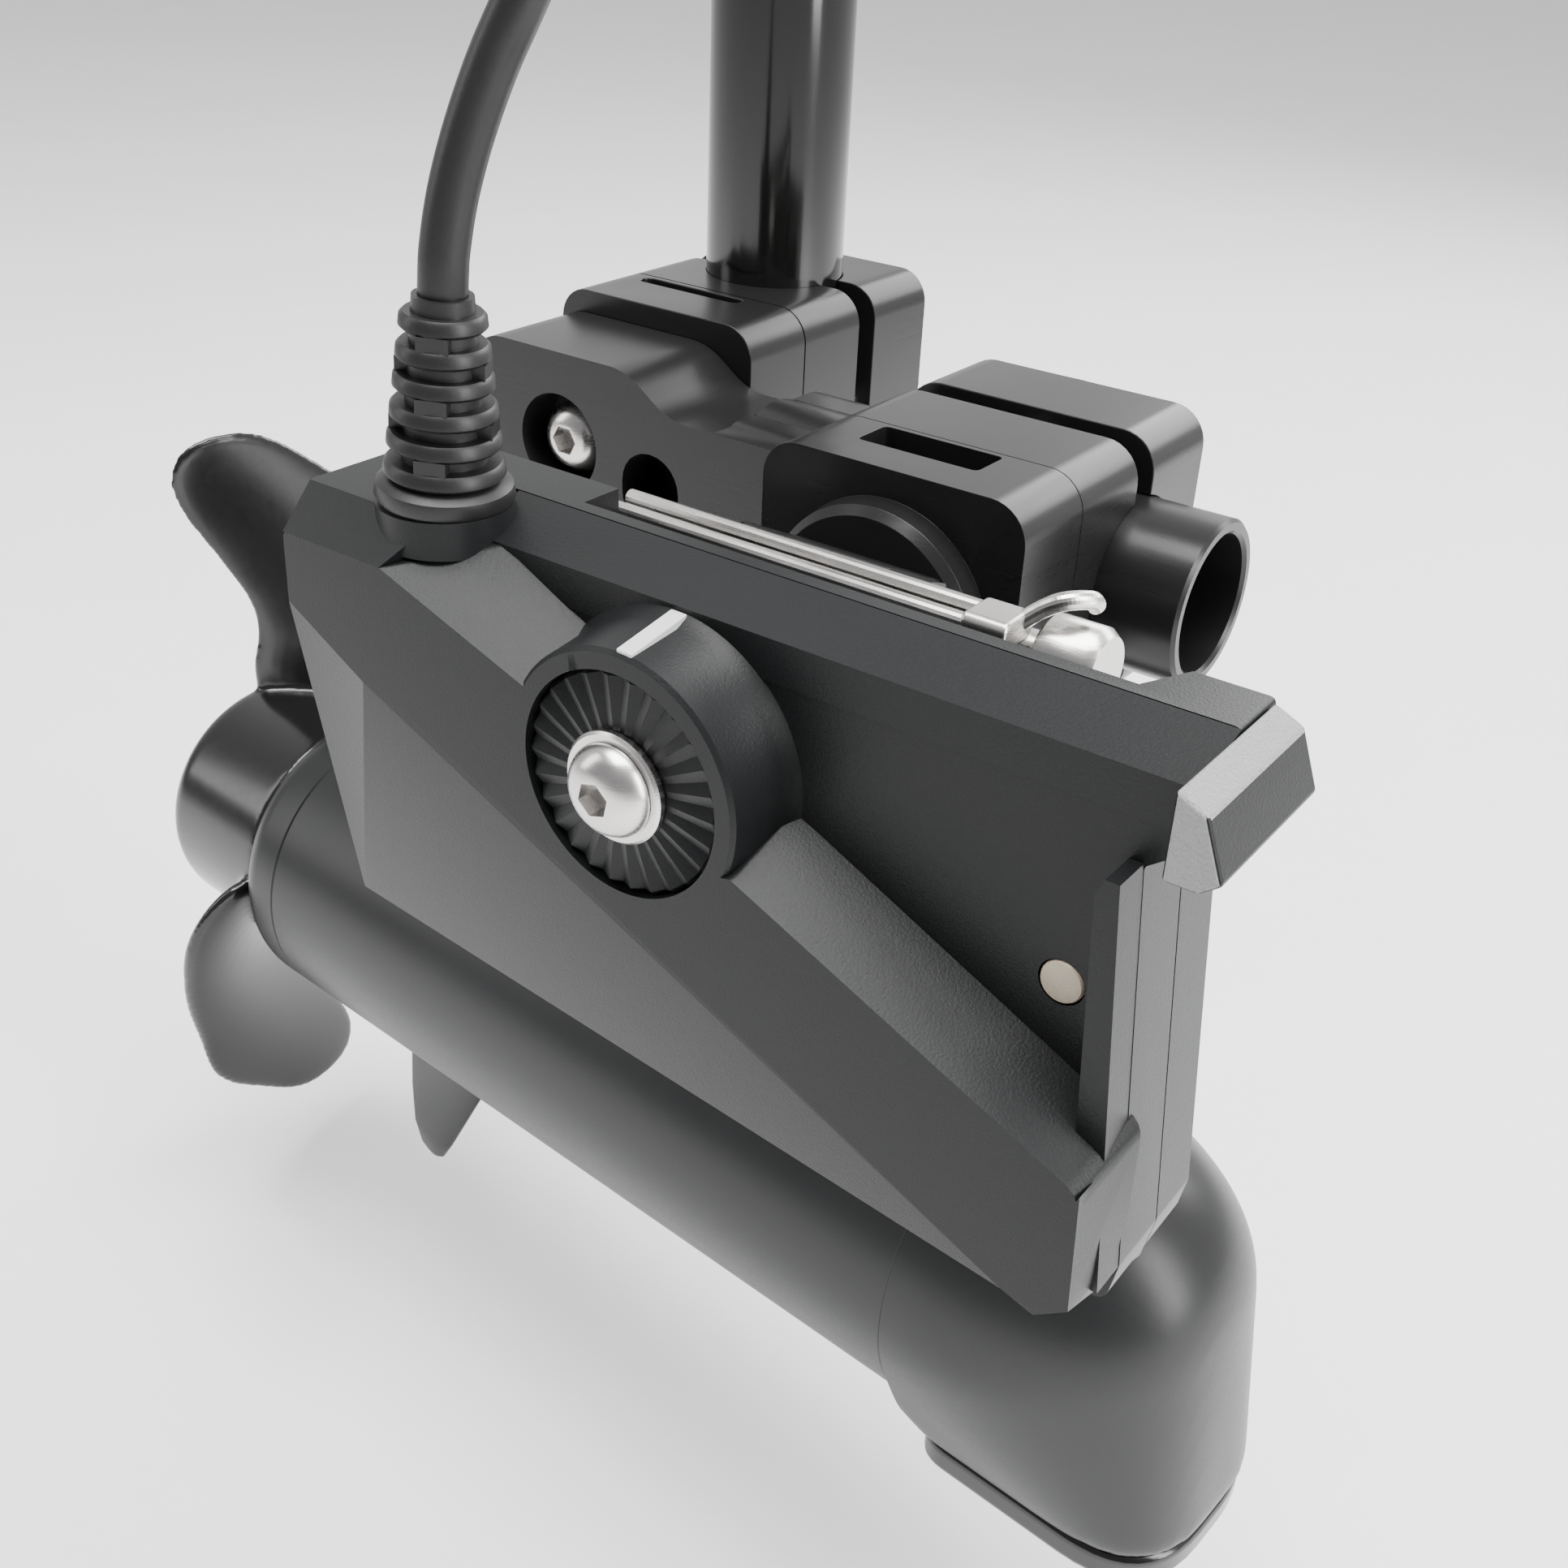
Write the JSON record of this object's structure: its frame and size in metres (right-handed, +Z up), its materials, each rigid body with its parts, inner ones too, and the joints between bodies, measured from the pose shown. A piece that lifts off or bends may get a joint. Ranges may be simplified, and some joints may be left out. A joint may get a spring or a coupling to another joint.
{
  "type": "trolling motor",
  "caption": "Bow-mount trolling motor: pod with propeller and skeg on a steering shaft, carrying a live-sonar head on a clamped arm.",
  "frame": {"origin": "centre of the flat back face of the mounting plate, level with the middle of the steering housing", "axes": "+X towards the motor's nose at zero steering, +Y out of the plate's back face towards the boat, +Z up along the shaft"},
  "size_m": [0.4029, 0.2309, 0.9679],
  "materials": {
    "anodised": "black satin anodised",
    "composite": "polished black composite",
    "painted": "satin dark grey-black paint",
    "plastic": "fine textured black",
    "gloss": "smooth glossy black",
    "rubber": "satin black",
    "steel": "brushed stainless",
    "bronze": "machined bronze",
    "copper": "enamelled copper winding",
    "magnet": "plain ferrite",
    "tan": "pale tan sensor face",
    "smoked": "smooth dark window",
    "ceramic": "cast ceramic block"
  },
  "bodies": {
    "bracket": {"mounting_plate": "painted", "steering_housing": "painted", "housing_lid": "painted", "upper_bush": "bronze", "lower_bush": "bronze", "pedal_cable_gland_left": "steel", "pedal_cable_gland_right": "steel"},
    "lower_unit": {"shaft": "composite", "power_lead": "rubber", "lead_gland": "rubber", "sonar_lead_upper": "rubber", "pod_housing": "painted", "nose_cone": "painted", "nose_sonar_window": "smoked", "end_bell": "painted", "shaft_seal": "rubber", "rear_bearing": "steel", "front_bearing": "steel", "magnet_upper": "magnet", "magnet_lower": "magnet", "shaft_clamp_plate": "anodised", "shaft_clamp_body": "anodised", "shaft_clamp_cap": "anodised", "shaft_clamp_screw_1": "steel", "shaft_clamp_screw_2": "steel", "steering_drum": "bronze", "depth_collar": "plastic", "depth_knob": "plastic", "head_base": "painted", "head_cover": "gloss", "control_board": "magnet", "battery_lead_gland": "rubber"},
    "arm": {"sonar_arm": "anodised", "cross_tube": "anodised", "arm_pivot_bolt": "steel", "sonar_lead_middle": "rubber"},
    "tube_clamp": {"tube_clamp_plate": "anodised", "tube_clamp_body": "anodised", "tube_clamp_cap": "anodised", "tube_clamp_screw_1": "steel", "tube_clamp_screw_2": "steel", "sonar_bracket": "anodised"},
    "sonar": {"sonar_front_shell": "plastic", "sonar_back_shell": "plastic", "sonar_nose": "plastic", "tilt_rosette": "plastic", "tilt_washer": "steel", "tilt_bolt": "steel", "water_sensor": "tan", "sonar_array": "ceramic", "strain_relief": "rubber", "sonar_lead_lower": "rubber"},
    "lock_pin": {"lock_pin": "steel"},
    "wire_bail": {"wire_bail": "steel"},
    "propeller": {"propeller": "gloss", "drive_pin": "steel", "prop_nut": "steel", "motor_shaft": "steel", "armature": "copper"}
  },
  "joints": [
    {"name": "steer", "type": "hinge", "parent": "bracket", "child": "lower_unit", "pos_m": [0, -0.0603, 0], "axis": [0, 0, 1], "range_deg": [-180, 180]},
    {"name": "prop_spin", "type": "hinge", "parent": "lower_unit", "child": "propeller", "pos_m": [0, -0.0603, -0.5944], "axis": [0.9963, -0.0854, 0], "continuous": true},
    {"name": "arm_pivot", "type": "hinge", "parent": "lower_unit", "child": "arm", "pos_m": [-0.003, -0.1243, -0.402], "axis": [0, 1, 0], "range_deg": [-15, 15], "deforming": ["sonar_lead_upper"]},
    {"name": "sonar_swing", "type": "hinge", "parent": "arm", "child": "tube_clamp", "pos_m": [0.086, -0.1072, -0.4035], "axis": [1, 0, 0], "range_deg": [-45, 20], "deforming": ["sonar_lead_middle"]},
    {"name": "sonar_tilt", "type": "hinge", "parent": "tube_clamp", "child": "sonar", "pos_m": [0.088, -0.2103, -0.405], "axis": [0, 1, 0], "range_deg": [-45, 30], "deforming": ["sonar_lead_lower"]},
    {"name": "pin_pull", "type": "slide", "parent": "tube_clamp", "child": "lock_pin", "axis": [1, 0, 0], "range_m": [0, 0.085]},
    {"name": "bail_swing", "type": "hinge", "parent": "lock_pin", "child": "wire_bail", "pos_m": [0.1295, -0.1663, -0.3816], "axis": [0, 1, 0], "range_deg": [0, 60]}
  ]
}
